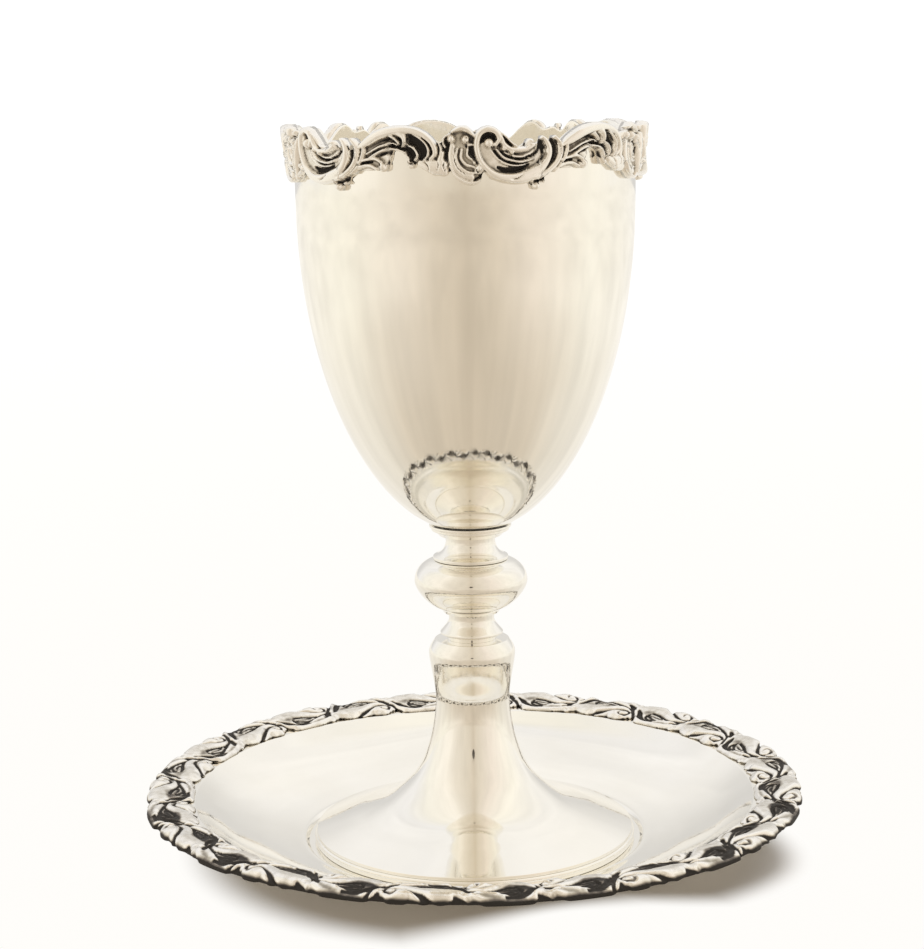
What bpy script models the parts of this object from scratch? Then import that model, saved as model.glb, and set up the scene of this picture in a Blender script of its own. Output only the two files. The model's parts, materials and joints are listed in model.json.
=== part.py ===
"""Footed silver goblet with a cast scroll rim, standing in the well of its matching saucer plate.

The rim's border is five cast repeats, each a scroll and a leaf, and the one at the front was cut
short to close the ring, so its leaves stand nearer together.

The goblet is put together the way a church cup is: bowl, collar, neck, hollow knop, lower neck and
foot are threaded over one tie rod, and a washer and nut inside the foot pull them together.
The model is in metres with +Z up. Its origin is the centre of the plate's underside, and the front
of the goblet looks along -Y. Angles around the axis are measured from the front towards +X.
"""

import math

import bmesh
import bpy

MM = 0.001
GAP = 0.3  # clearance left between two touching pieces

# Facets round the axis
WIDE_SEGMENTS = 50
RIM_SEGMENTS = 80
FOOT_SEGMENTS = 36
STEM_SEGMENTS = 24

# Plate, heights above the surface it stands on
SHEET = 1.0
PLATE_RADIUS = 75.0
WELL_RADIUS = 38.2
STEP_RADIUS = 39.6
STEP_HEIGHT = 1.9
FOLD_RADIUS = 64.0
FOLD_HEIGHT = 12.1
FLANGE_RADIUS = 70.5
FLANGE_HEIGHT = 12.3
BORDER_INNER_RADIUS = 66.5
BORDER_TOP_HEIGHT = 14.4
BORDER_SKIRT_HEIGHT = 12.3
PLATE_REPEATS = 27
PLATE_SCALLOP = 0.7

# Goblet, heights above the plane that its foot stands on
FOOT_PLANE = SHEET + GAP
BOWL_RADIUS = 37.35
BOWL_SHOULDER = 146.0
BOWL_DEPTH = 75.0
BOWL_SEAT = 73.3
BOWL_WALL = 0.9
RIM_HEIGHT = 160.4
RIM_WAVE = 1.6
RIM_LEAF = 0.5
LIP_DROP = 0.6
RIM_RADIUS = 40.4
RIM_LOWER_EDGE = 150.3
LEAF_ANGLES = (-19.0, 44.0, 118.3, 192.5, 266.8)
COLLAR_RADIUS = 9.3
COLLAR_BASE = 70.7
NECK_TOP = 70.4
NECK_WAIST = 5.6
NECK_BASE = 65.3
KNOP_EQUATOR = 59.8
KNOP_RADIUS = 12.84
KNOP_END_RADIUS = 7.2
KNOP_RISE = 5.2
KNOP_DROP = 6.0
KNOP_WALL = 1.0
KNOP_LOWER_END = 53.9
BEAD_RADIUS = 6.6
BEAD_TOP = 53.6
BEAD_BASE = 52.9
LOWER_NECK_TOP = 52.6
LOWER_NECK_BASE = 46.7
LOWER_NECK_END = 5.6
FLANGE_EDGE_RADIUS = 7.15
FOOT_TOP = 46.4
FOOT_WALL = 0.9
FOOT_EDGE_RADIUS = 36.4
WIRE_RADIUS = 36.9
WIRE_WIDTH = 1.7
WIRE_HEIGHT = 1.5

# Clamp inside the stem
ROD_RADIUS = 2.4
ROD_END = 37.5
ROD_FLANGE_RADIUS = 6.0
ROD_FLANGE = (71.9, 72.9)
ROD_BORE = 3.0
WASHER_RADIUS = 7.2
WASHER = (44.2, 45.2)
NUT = (40.0, 43.9)
NUT_ACROSS_FLATS = 8.0
NUT_BORE = 2.75

SILVER = ((0.94, 0.92, 0.88), 0.08)
CAST_SILVER = ((0.80, 0.78, 0.73), 0.28)
NICKEL_SILVER = ((0.72, 0.70, 0.66), 0.32)
BRASS = ((0.83, 0.66, 0.36), 0.30)


def clear_scene():
    for item in list(bpy.data.objects):
        bpy.data.objects.remove(item, do_unlink=True)


def metal(name, finish):
    colour, roughness = finish
    material = bpy.data.materials.new(name)
    material.use_nodes = True
    shader = material.node_tree.nodes["Principled BSDF"]
    shader.inputs["Base Color"].default_value = (*colour, 1.0)
    shader.inputs["Roughness"].default_value = roughness
    shader.inputs["Metallic"].default_value = 1.0
    return material


def empty(name, height, parent=None):
    """An empty on the goblet's axis, at a height above the foot's plane."""
    item = bpy.data.objects.new(name, None)
    bpy.context.scene.collection.objects.link(item)
    item.location.z = height * MM
    item.parent = parent
    return item


def add_object(name, mesh, finish, parent):
    """Make the named object from a bmesh drawn in millimetres above the model's origin."""
    bmesh.ops.recalc_face_normals(mesh, faces=mesh.faces)
    bmesh.ops.scale(mesh, vec=(MM, MM, MM), verts=mesh.verts)
    data = bpy.data.meshes.new(name)
    mesh.to_mesh(data)
    mesh.free()
    data.shade_smooth()
    data.set_sharp_from_angle(angle=math.radians(35))
    data.materials.append(metal(name + "_metal", finish))
    item = bpy.data.objects.new(name, data)
    bpy.context.scene.collection.objects.link(item)
    if parent:
        bpy.context.view_layer.update()
        item.parent = parent
        item.matrix_parent_inverse = parent.matrix_world.inverted()
    return item


def spline(knots, steps):
    """Points on a smooth curve that passes through every knot."""
    points = []
    last = len(knots) - 1
    for i in range(last):
        before, start = knots[max(i - 1, 0)], knots[i]
        end, after = knots[i + 1], knots[min(i + 2, last)]
        for step in range(steps):
            t = step / steps
            weights = (
                -0.5 * t + t * t - 0.5 * t**3,
                1 - 2.5 * t * t + 1.5 * t**3,
                0.5 * t + 2 * t * t - 1.5 * t**3,
                -0.5 * t * t + 0.5 * t**3,
            )
            four = (before, start, end, after)
            points.append(tuple(sum(w * p[axis] for w, p in zip(weights, four)) for axis in (0, 1)))
    points.append(knots[-1])
    return points


def arc(centre, radii, first, last, steps):
    """Points on an elliptical arc, with its angles in degrees from the outward direction."""
    points = []
    for step in range(steps + 1):
        angle = math.radians(first + (last - first) * step / steps)
        points.append((centre[0] + radii[0] * math.cos(angle), centre[1] + radii[1] * math.sin(angle)))
    return points


def inset(outline, wall):
    """The outline moved by the wall's thickness, to the right of its own direction."""
    moved = []
    last = len(outline) - 1
    for i, (radius, height) in enumerate(outline):
        before, after = outline[max(i - 1, 0)], outline[min(i + 1, last)]
        along = (after[0] - before[0], after[1] - before[1])
        length = math.hypot(*along)
        moved.append((radius + wall * along[1] / length, height - wall * along[0] / length))
    return moved


def raised(outline):
    """Heights above the foot's plane, turned into heights above the origin."""
    return [(radius, height + FOOT_PLANE) for radius, height in outline]


def revolve(outline, segments):
    """Spin an outline round the axis. It closes on itself, or starts and ends on the axis."""
    mesh = bmesh.new()
    ring = [mesh.verts.new((radius, 0.0, height)) for radius, height in outline]
    edges = [mesh.edges.new(pair) for pair in zip(ring, ring[1:])]
    if outline[0][0] > 0:
        edges.append(mesh.edges.new((ring[-1], ring[0])))
    bmesh.ops.spin(
        mesh,
        geom=ring + edges,
        cent=(0, 0, 0),
        axis=(0, 0, 1),
        angle=math.tau,
        steps=segments,
        use_merge=True,
    )
    bmesh.ops.remove_doubles(mesh, verts=mesh.verts, dist=0.001)
    return mesh


def front_angle(vert):
    """Angle of a point round the axis, in degrees from the front towards +X."""
    return math.degrees(math.atan2(vert.co.x, -vert.co.y))


def rim_turn(angle):
    """How far a point lies from one leaf of the border to the next, as part of a full turn."""
    past = (angle - LEAF_ANGLES[0]) % 360 + LEAF_ANGLES[0]
    stops = (*LEAF_ANGLES, LEAF_ANGLES[0] + 360)
    for start, end in zip(stops, stops[1:]):
        if start <= past < end:
            return math.tau * (past - start) / (end - start)
    return 0.0


def rim_top(angle):
    """Height of the goblet's wavy rim: two lobes to a repeat, the leaf's lobe the higher."""
    turn = rim_turn(angle)
    return RIM_HEIGHT + RIM_WAVE * math.cos(2 * turn) + RIM_LEAF * math.cos(turn)


def rim_bottom(angle):
    """Height of the border's lower edge, which arches up under each leaf."""
    turn = rim_turn(angle)
    return RIM_LOWER_EDGE + 0.6 * math.cos(2 * turn) + 1.2 * math.cos(turn)


def bowl_curve(wall, base, steps):
    """One side of the bowl, from its flat seat up to where the wall becomes upright."""
    radius = BOWL_RADIUS - wall
    depth = BOWL_DEPTH - wall
    first = -math.degrees(math.asin((BOWL_SHOULDER - base) / depth))
    return arc((0, BOWL_SHOULDER), (radius, depth), first, 0, steps)


def bowl(parent):
    outer = bowl_curve(0, BOWL_SEAT, 11)
    inner = bowl_curve(BOWL_WALL, BOWL_SEAT + BOWL_WALL, 9)
    lip = [(BOWL_RADIUS, RIM_HEIGHT), (BOWL_RADIUS - BOWL_WALL, RIM_HEIGHT)]
    outline = [(0, BOWL_SEAT), *outer, *lip, *reversed(inner), (0, BOWL_SEAT + BOWL_WALL)]
    mesh = revolve(raised(outline), WIDE_SEGMENTS)
    for vert in mesh.verts:
        if abs(vert.co.z - RIM_HEIGHT - FOOT_PLANE) < 0.001:
            vert.co.z = rim_top(front_angle(vert)) - LIP_DROP + FOOT_PLANE
    add_object("bowl", mesh, SILVER, parent)


def rim_border(parent):
    inner_radius = BOWL_RADIUS + GAP
    depth = RIM_RADIUS - inner_radius
    section = (
        (0.0, 0.0),
        (0.35, 0.0),
        (0.85, 0.15),
        (0.60, 0.45),
        (1.00, 0.78),
        (0.75, 0.96),
        (0.30, 1.0),
        (0.0, 0.98),
    )
    mesh = revolve([(inner_radius + out * depth, up) for out, up in section], RIM_SEGMENTS)
    for vert in mesh.verts:
        low = rim_bottom(front_angle(vert))
        high = rim_top(front_angle(vert))
        vert.co.z = low + vert.co.z * (high - low) + FOOT_PLANE
    add_object("rim_border", mesh, CAST_SILVER, parent)


def collar(parent):
    """The stepped cap under the bowl, recessed on top for the tie rod's flange."""
    top = BOWL_SEAT - GAP
    recess = ROD_FLANGE[0] - GAP
    outline = [
        (ROD_BORE, COLLAR_BASE),
        (7.0, COLLAR_BASE),
        (8.0, 71.4),
        (8.8, 71.7),
        (8.8, 72.3),
        (COLLAR_RADIUS, 72.5),
        (COLLAR_RADIUS, top),
        (ROD_FLANGE_RADIUS + 2 * GAP, top),
        (ROD_FLANGE_RADIUS + 2 * GAP, recess),
        (ROD_BORE, recess),
    ]
    add_object("collar", revolve(raised(outline), STEM_SEGMENTS), SILVER, parent)


def upper_neck(parent):
    edge_radius = 8.5
    hollow = arc((8.9, 69.3), (8.9 - NECK_WAIST, 3.6), 180, 250, 5)
    edge = [(edge_radius, 65.7), (edge_radius, NECK_BASE)]
    outline = [(ROD_BORE, NECK_TOP), (NECK_WAIST + 0.1, NECK_TOP), *hollow, *edge, (ROD_BORE, NECK_BASE)]
    add_object("upper_neck", revolve(raised(outline), STEM_SEGMENTS), SILVER, parent)


def knop_curve(reach, power, first, last, steps):
    """Half of the knop: a rounded cushion that bulges from its end radius at the equator."""
    bulge = KNOP_RADIUS - KNOP_END_RADIUS
    points = []
    for step in range(steps + 1):
        share = math.sin(math.pi / 2 * step / steps)
        away = first + (last - first) * share
        swell = (1 - (abs(away) / reach) ** power) ** (1 / power)
        points.append((KNOP_END_RADIUS + bulge * swell, KNOP_EQUATOR + away))
    return points


def knop_half(name, parent, outer, end):
    """One raised half of the hollow knop, closed by a bored disc where it meets its neighbour."""
    inward = 1 if end < KNOP_EQUATOR else -1
    floor = end + inward * KNOP_WALL
    shell = [
        (radius - KNOP_WALL, height)
        for radius, height in outer
        if (height - floor) * inward > 0
    ]
    corner = (shell[-1][0] - 0.4, floor)
    outline = [*outer, (ROD_BORE, end), (ROD_BORE, floor), corner, *reversed(shell)]
    add_object(name, revolve(raised(outline), STEM_SEGMENTS), SILVER, parent)


def knop(parent):
    """Two raised halves, soldered at the widest line."""
    upper = knop_curve(KNOP_RISE, 2.1, GAP / 2, KNOP_RISE, 7)
    lower = knop_curve(KNOP_DROP, 1.45, -GAP / 2, KNOP_LOWER_END - KNOP_EQUATOR, 7)
    knop_half("knop_upper", parent, upper, KNOP_EQUATOR + KNOP_RISE)
    knop_half("knop_lower", parent, lower, KNOP_LOWER_END)


def lower_bead(parent):
    middle = (BEAD_TOP + BEAD_BASE) / 2
    half = (BEAD_TOP - BEAD_BASE) / 2
    round_edge = arc((BEAD_RADIUS - half, middle), (half, half), -90, 90, 4)
    outline = [(ROD_BORE, BEAD_BASE), *round_edge, (ROD_BORE, BEAD_TOP)]
    add_object("lower_bead", revolve(raised(outline), STEM_SEGMENTS), SILVER, parent)


def lower_neck(parent):
    """A waist that flares to a sharp flange, undercut above the foot it stands on."""
    hollow = spline([(5.3, LOWER_NECK_TOP), (5.15, 51.3), (5.4, 50.3), (6.2, 49.2), (6.95, 48.35)], 2)
    flange = [(FLANGE_EDGE_RADIUS, 48.1), (FLANGE_EDGE_RADIUS, 47.8), (FLANGE_EDGE_RADIUS - 0.3, 47.6)]
    under = [(LOWER_NECK_END, 47.5), (LOWER_NECK_END, LOWER_NECK_BASE)]
    outline = [(ROD_BORE, LOWER_NECK_TOP), *hollow, *flange, *under, (ROD_BORE, LOWER_NECK_BASE)]
    add_object("lower_neck", revolve(raised(outline), STEM_SEGMENTS), SILVER, parent)


def foot(parent):
    """The spun trumpet foot: a rounded shoulder, a slim waist and a wide flare, open below."""
    top_knots = [(8.4, FOOT_TOP), (9.8, 43.9), (9.5, 40.5), (8.6, 35.0), (8.45, 31.5)]
    flare_knots = [(9.1, 26.2), (10.7, 20.2), (13.8, 14.2), (20.9, 8.1), (28.5, 5.05)]
    edge = (FOOT_EDGE_RADIUS, WIRE_HEIGHT + GAP + 0.5)
    outer = spline([*top_knots, *flare_knots, edge], 2)
    inner = inset(outer[::2], FOOT_WALL)
    ceiling = FOOT_TOP - FOOT_WALL
    rim = [(FOOT_EDGE_RADIUS, WIRE_HEIGHT + GAP), (FOOT_EDGE_RADIUS - 2 * FOOT_WALL, WIRE_HEIGHT + GAP)]
    hollow = [
        point
        for point in reversed(inner)
        if point[1] < ceiling - GAP and point[1] > WIRE_HEIGHT + 2 * GAP
    ]
    under = [(hollow[-1][0] - 0.5, ceiling), (ROD_BORE, ceiling)]
    outline = [(ROD_BORE, FOOT_TOP), *outer, *rim, *hollow, *under]
    add_object("foot", revolve(raised(outline), FOOT_SEGMENTS), SILVER, parent)


def foot_rim_wire(parent):
    """The applied wire that stiffens the foot's edge and carries the goblet."""
    inner = WIRE_RADIUS - WIRE_WIDTH
    half = WIRE_HEIGHT / 2
    outer_edge = arc((WIRE_RADIUS - half / 2, half), (half / 2, half), -90, 90, 4)
    outline = [(inner, 0), *outer_edge, (inner, WIRE_HEIGHT)]
    add_object("foot_rim_wire", revolve(raised(outline), FOOT_SEGMENTS), SILVER, parent)


def tie_rod(parent):
    """The rod soldered under the bowl, with its flange in the collar's recess."""
    low, high = ROD_FLANGE
    outline = [
        (0, ROD_END),
        (ROD_RADIUS - 0.4, ROD_END),
        (ROD_RADIUS, ROD_END + 0.4),
        (ROD_RADIUS, low),
        (ROD_FLANGE_RADIUS, low),
        (ROD_FLANGE_RADIUS, high),
        (0, high),
    ]
    add_object("tie_rod", revolve(raised(outline), STEM_SEGMENTS), NICKEL_SILVER, parent)


def clamp_washer(parent):
    low, high = WASHER
    outline = [(ROD_BORE, low), (WASHER_RADIUS, low), (WASHER_RADIUS, high), (ROD_BORE, high)]
    add_object("clamp_washer", revolve(raised(outline), STEM_SEGMENTS), BRASS, parent)


def tie_nut(parent):
    """A hexagon nut, bored right through."""
    low, high = NUT
    corner_radius = NUT_ACROSS_FLATS / 2 / math.cos(math.radians(30))
    outline = [(NUT_BORE, low), (corner_radius, low), (corner_radius, high), (NUT_BORE, high)]
    mesh = revolve(raised(outline), STEM_SEGMENTS)
    for vert in mesh.verts:
        if math.hypot(vert.co.x, vert.co.y) > NUT_BORE + GAP:
            from_flat = math.radians((front_angle(vert) + 30) % 60 - 30)
            to_hexagon = math.cos(math.radians(30)) / math.cos(from_flat)
            vert.co.x *= to_hexagon
            vert.co.y *= to_hexagon
    add_object("tie_nut", mesh, BRASS, parent)


def plate(parent):
    """A saucer plate: flat well, low step round the foot, hollow rise and a narrow flange."""
    rise = spline([(STEP_RADIUS, STEP_HEIGHT), (48.0, 3.6), (57.0, 7.3), (FOLD_RADIUS, FOLD_HEIGHT)], 3)
    top = [(0, SHEET), (WELL_RADIUS, SHEET), (WELL_RADIUS + 0.8, STEP_HEIGHT), *rise]
    underside = [point for point in inset(rise, SHEET) if point[0] > STEP_RADIUS + 1]
    outline = [
        *top,
        (FLANGE_RADIUS, FLANGE_HEIGHT),
        (FLANGE_RADIUS, FLANGE_HEIGHT - SHEET),
        *reversed(underside),
        (STEP_RADIUS, STEP_HEIGHT - SHEET),
        (WELL_RADIUS, 0),
        (0, 0),
    ]
    add_object("plate", revolve(outline, WIDE_SEGMENTS), SILVER, parent)


def plate_border(parent):
    """The cast scroll border that lies on the flange and wraps over its edge."""
    seat = FLANGE_HEIGHT + GAP
    wrap = FLANGE_RADIUS + GAP
    outline = [
        (BORDER_INNER_RADIUS, seat),
        (BORDER_INNER_RADIUS + 0.6, seat + 0.8),
        (70.5, 13.6),
        (73.4, BORDER_TOP_HEIGHT),
        (PLATE_RADIUS, BORDER_TOP_HEIGHT - 0.7),
        (PLATE_RADIUS - 0.2, BORDER_SKIRT_HEIGHT),
        (wrap, BORDER_SKIRT_HEIGHT),
        (wrap, seat),
    ]
    mesh = revolve(outline, 3 * PLATE_REPEATS)
    for vert in mesh.verts:
        radius = math.hypot(vert.co.x, vert.co.y)
        outward = max(0, radius - wrap) / (PLATE_RADIUS - wrap)
        scallop = PLATE_SCALLOP * (math.cos(math.radians(PLATE_REPEATS * front_angle(vert))) - 1) / 2
        reach = (radius + scallop * outward) / radius
        vert.co.x *= reach
        vert.co.y *= reach
    add_object("plate_border", mesh, CAST_SILVER, parent)


def build():
    clear_scene()
    saucer = empty("saucer_centre", 0)
    goblet = empty("goblet_axis", FOOT_PLANE, saucer)
    clamp = empty("clamp_axis", WASHER[0] + FOOT_PLANE, goblet)
    plate(saucer)
    plate_border(saucer)
    for piece in (bowl, rim_border, collar, upper_neck, knop, lower_bead, lower_neck, foot):
        piece(goblet)
    foot_rim_wire(goblet)
    tie_rod(goblet)
    clamp_washer(clamp)
    tie_nut(clamp)


build()
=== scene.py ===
"""Looks of a silver goblet and its saucer plate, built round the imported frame.

Plain silver surfaces are turned finely from the frame's own sections. The two cast borders are
modelled as relief: strokes, volutes and beads raise a height map, which becomes the border's face.
Lengths up to the stage's section are millimetres, and angles round the goblet are degrees from the
front (-Y) towards the right (+X).
"""

import json
import math

import bmesh
import bpy
import numpy as np
from mathutils import Matrix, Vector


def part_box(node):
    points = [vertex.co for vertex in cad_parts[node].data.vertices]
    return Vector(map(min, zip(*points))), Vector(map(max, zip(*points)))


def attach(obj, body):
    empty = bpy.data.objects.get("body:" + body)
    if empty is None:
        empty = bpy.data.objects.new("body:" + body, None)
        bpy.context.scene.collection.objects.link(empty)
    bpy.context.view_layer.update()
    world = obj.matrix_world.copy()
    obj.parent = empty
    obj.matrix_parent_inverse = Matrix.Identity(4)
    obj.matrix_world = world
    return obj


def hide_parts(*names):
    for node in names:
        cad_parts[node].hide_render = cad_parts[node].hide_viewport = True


MM = 0.001
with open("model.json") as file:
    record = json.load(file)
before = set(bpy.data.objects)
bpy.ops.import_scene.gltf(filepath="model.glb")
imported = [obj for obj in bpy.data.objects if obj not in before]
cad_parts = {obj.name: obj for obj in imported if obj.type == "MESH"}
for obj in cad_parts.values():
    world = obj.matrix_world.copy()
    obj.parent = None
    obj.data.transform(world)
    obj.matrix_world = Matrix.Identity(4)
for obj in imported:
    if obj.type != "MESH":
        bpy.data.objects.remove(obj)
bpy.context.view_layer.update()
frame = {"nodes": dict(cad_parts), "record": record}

STACK_GAP = 0.3  # the stem's pieces are drawn down by this much, on to the ones below
FOOT_GAP = 0.25  # the foot is drawn down by this much, on to the plate
CAP_MARGIN = 0.5  # a flat end has one more ring this far inside its edge, which keeps its shading flat
LIP_FADE = 12.0  # how far below the bowl's lip its wavy lift fades out
LIP_BELOW_BORDER = 0.25
KNOP_END_RADIUS = 7.2
KNOP_RISE = 5.2
KNOP_FALL = 6.0
KNOP_ROUND_ABOVE = 2.1  # 2 is an ellipse, and more is fuller
KNOP_ROUND_BELOW = 1.45


def height_of(node, end):
    """A node's lowest (end 0) or highest (end 1) height at rest, in millimetres."""
    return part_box(node)[end].z / MM


# ---------------------------------------------------------------- turned surfaces


def section(node):
    """The outline of a turned node in the half plane through +X, as (radius, height) points."""
    mesh = frame["nodes"][node].data
    merged = {}
    index = []
    for vert in mesh.vertices:
        key = tuple(round(value / MM * 1000) for value in vert.co)
        index.append(merged.setdefault(key, len(merged)))
    places = {number: key for key, number in merged.items()}
    flat = {number for number, key in places.items() if abs(key[1]) < 5 and key[0] > -5}
    links = {number: set() for number in flat}
    for edge in mesh.edges:
        a, b = (index[v] for v in edge.vertices)
        if a != b and a in flat and b in flat:
            links[a].add(b)
            links[b].add(a)
    ends = [number for number in flat if len(links[number]) == 1]
    chain = [min(ends or flat, key=lambda number: (places[number][0], places[number][2]))]
    while True:
        onward = [number for number in sorted(links[chain[-1]]) if number not in chain]
        if not onward:
            break
        chain.append(onward[0])
    points = np.array([(places[n][0] / 1000, places[n][2] / 1000) for n in chain])
    return points, not ends


def curve_through(points, pitch):
    """Closely spaced points on a smooth curve through the given ones."""
    points = np.asarray(points, float)
    if len(points) < 3:
        length = np.linalg.norm(points[-1] - points[0])
        count = max(int(length / pitch), 1)
        share = np.linspace(0, 1, count + 1)[:, None]
        return points[0] + (points[-1] - points[0]) * share
    padded = np.vstack([2 * points[0] - points[1], points, 2 * points[-1] - points[-2]])
    knots = np.concatenate([[0], np.cumsum(np.sqrt(np.linalg.norm(np.diff(padded, axis=0), axis=1)))])
    pieces = []
    for i in range(1, len(padded) - 2):
        p = padded[i - 1 : i + 3]
        t = knots[i - 1 : i + 3]
        count = max(int(np.linalg.norm(p[2] - p[1]) / pitch), 1)
        at = np.linspace(t[1], t[2], count, endpoint=False)[:, None]
        a1 = ((t[1] - at) * p[0] + (at - t[0]) * p[1]) / (t[1] - t[0])
        a2 = ((t[2] - at) * p[1] + (at - t[1]) * p[2]) / (t[2] - t[1])
        a3 = ((t[3] - at) * p[2] + (at - t[2]) * p[3]) / (t[3] - t[2])
        b1 = ((t[2] - at) * a1 + (at - t[0]) * a2) / (t[2] - t[0])
        b2 = ((t[3] - at) * a2 + (at - t[1]) * a3) / (t[3] - t[1])
        pieces.append(((t[2] - at) * b1 + (at - t[1]) * b2) / (t[2] - t[1]))
    pieces.append(points[-1:])
    return np.vstack(pieces)


def turned_outline(points, closed, pitch, corner, rounding):
    """Smooth a section's round stretches, and round off its corners a little."""
    count = len(points)
    turns = np.zeros(count)
    for i in range(count):
        if not closed and i in (0, count - 1):
            turns[i] = 180
            continue
        before = points[i] - points[i - 1]
        after = points[(i + 1) % count] - points[i]
        cosine = before @ after / np.linalg.norm(before) / np.linalg.norm(after)
        turns[i] = math.degrees(math.acos(max(-1, min(1, cosine))))
    corners = [i for i in range(count) if turns[i] > corner]
    if closed:
        points = np.vstack([np.roll(points, -corners[0], axis=0), points[corners[0]]])
        corners = [i - corners[0] for i in corners] + [count]
    spans = [curve_through(points[a : b + 1], pitch) for a, b in zip(corners, corners[1:])]
    outline = []
    for number, span in enumerate(spans):
        along = np.concatenate([[0], np.cumsum(np.linalg.norm(np.diff(span, axis=0), axis=1))])
        soft = min(rounding, along[-1] / 6)
        first_end = number > 0 or closed
        last_end = number < len(spans) - 1 or closed
        low = 2.2 * soft if first_end else -1
        high = along[-1] - 2.2 * soft if last_end else along[-1] + 1
        stops = [s for s in along if low < s < high]
        if first_end:
            stops = [soft, 2 * soft, *stops]
        if last_end:
            stops = [*stops, along[-1] - 2 * soft, along[-1] - soft]
        outline.append(np.column_stack([np.interp(stops, along, span[:, axis]) for axis in (0, 1)]))
    rounded = []
    for number, part in enumerate(outline):
        rounded.append(part)
        if number == len(outline) - 1 and not closed:
            break
        start, end = part[-1], outline[(number + 1) % len(outline)][0]
        tip = spans[number][-1]
        for t in (0.25, 0.5, 0.75):
            rounded.append([(1 - t) ** 2 * start + 2 * t * (1 - t) * tip + t * t * end])
    return np.vstack(rounded)


def place(radius, angle, height):
    """Points at a radius and height, at an angle from the front."""
    turn = np.radians(angle)
    return np.stack([radius * np.sin(turn), -radius * np.cos(turn), height], axis=-1) * MM


def grid_faces(rows, columns, first, wrap_rows):
    """Quads over a grid of vertices whose columns run round the axis."""
    row = np.arange(rows if wrap_rows else rows - 1)
    column = np.arange(columns)
    r, c = (a.ravel() for a in np.meshgrid(row, column, indexing="ij"))
    up = (r + 1) % rows
    side = (c + 1) % columns
    corners = (r * columns + c, r * columns + side, up * columns + side, up * columns + c)
    return np.stack(corners, axis=-1) + first


def mesh_object(name, verts, faces, sharp=40):
    """A smooth-shaded object whose faces point outwards."""
    data = bpy.data.meshes.new(name)
    data.from_pydata(verts.tolist(), [], faces.tolist())
    work = bmesh.new()
    work.from_mesh(data)
    bmesh.ops.remove_doubles(work, verts=work.verts, dist=2e-6)
    bmesh.ops.recalc_face_normals(work, faces=work.faces)
    work.to_mesh(data)
    work.free()
    data.shade_smooth()
    data.set_sharp_from_angle(angle=math.radians(sharp))
    item = bpy.data.objects.new(name, data)
    bpy.context.scene.collection.objects.link(item)
    return item


def turn(name, outline, closed, columns, lift=None):
    """Turn an outline round the axis. lift(angle, height) moves points up, for a wavy edge."""
    angles = np.arange(columns) * 360.0 / columns
    radius, height = outline[:, 0][:, None], outline[:, 1][:, None]
    angle = np.broadcast_to(angles, (len(outline), columns))
    height = np.broadcast_to(height, angle.shape)
    if lift:
        height = height + lift(angle, height)
    verts = place(np.broadcast_to(radius, angle.shape), angle, height).reshape(-1, 3)
    return mesh_object(name, verts, grid_faces(len(outline), columns, 0, closed))


def capped(outline):
    """Carry an open outline in to the axis, along the flat ends whose middle has no vertex."""
    first, last = outline[0], outline[-1]
    inwards = (CAP_MARGIN, 0)
    return np.vstack([(0, first[1]), first - inwards, outline, last - inwards, (0, last[1])])


def turned_piece(node, columns, pitch=0.6, corner=32, rounding=0.14, drop=0.0, lift=None):
    """A fine copy of a turned node. drop lowers its bottom edge to close the clearance below it."""
    points, closed = section(node)
    bottom = points[:, 1] < points[:, 1].min() + 0.05
    points[bottom, 1] -= drop
    outline = turned_outline(points, closed, pitch, corner, rounding)
    if not closed:
        outline = capped(outline)
    return finish_piece(turn(node + "_turned", outline, closed, columns, lift), node)


def finish_piece(piece, *nodes):
    """Let the piece stand for its nodes, on their body and with their material slot."""
    slots = {row["node"]: row["material_slot"] for row in frame["record"]["subparts"]}
    body = next(b for b, members in frame["record"]["behaviour"]["bodies"].items() if nodes[0] in members)
    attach(piece, body)
    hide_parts(*nodes)
    piece.data.materials.append(MATERIALS[slots[nodes[0]]])
    return piece


# ---------------------------------------------------------------- materials

GLOW_AFTER = 3  # bounces
STEM_GLOW = 0.05
BOWL_GLOW = 0.45


def new_material(name):
    material = bpy.data.materials.new(name)
    material.use_nodes = True
    return material, material.node_tree, material.node_tree.nodes["Principled BSDF"]


def connect(tree, node, **inputs):
    """Feed a node with values or sockets. i0, i1 and so on are inputs by number, and _ is a space."""
    for key, value in inputs.items():
        by_number = key[0] == "i" and key[1:].isdigit()
        socket = node.inputs[int(key[1:]) if by_number else key.replace("_", " ")]
        if isinstance(value, bpy.types.NodeSocket):
            tree.links.new(value, socket)
        else:
            socket.default_value = value
    return node


def add_node(tree, kind, settings=(), **inputs):
    node = tree.nodes.new("ShaderNode" + kind)
    for key, value in dict(settings).items():
        setattr(node, key, value)
    return connect(tree, node, **inputs)


def calculated(tree, operation, *values):
    """What a maths node makes of its values."""
    inputs = {f"i{number}": value for number, value in enumerate(values)}
    return add_node(tree, "Math", {"operation": operation}, **inputs).outputs[0]


def remapped(tree, value, low, high, to_low=0.0, to_high=1.0, shape="LINEAR"):
    """A value moved from one range to another, and held at the ends."""
    settings = {"interpolation_type": shape}
    return add_node(tree, "MapRange", settings, i0=value, i1=low, i2=high, i3=to_low, i4=to_high).outputs[0]


def ramp(tree, factor, stops):
    """A colour ramp from (position, colour) pairs."""
    node = add_node(tree, "ValToRGB", Fac=factor)
    elements = node.color_ramp.elements
    while len(elements) < len(stops):
        elements.new(0.5)
    for element, (position, colour) in zip(elements, stops):
        element.position = position
        element.color = (*colour, 1.0)
    return node.outputs["Color"]


def grey_ramp(tree, factor, stops):
    return ramp(tree, factor, [(position, (grey, grey, grey)) for position, grey in stops])


def noise(tree, scale, detail, vector):
    return add_node(tree, "TexNoise", Vector=vector, Scale=scale, Detail=detail).outputs["Fac"]


def stretched_by(tree, where, scale):
    return add_node(tree, "Mapping", Vector=where, Scale=scale).outputs["Vector"]


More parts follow.
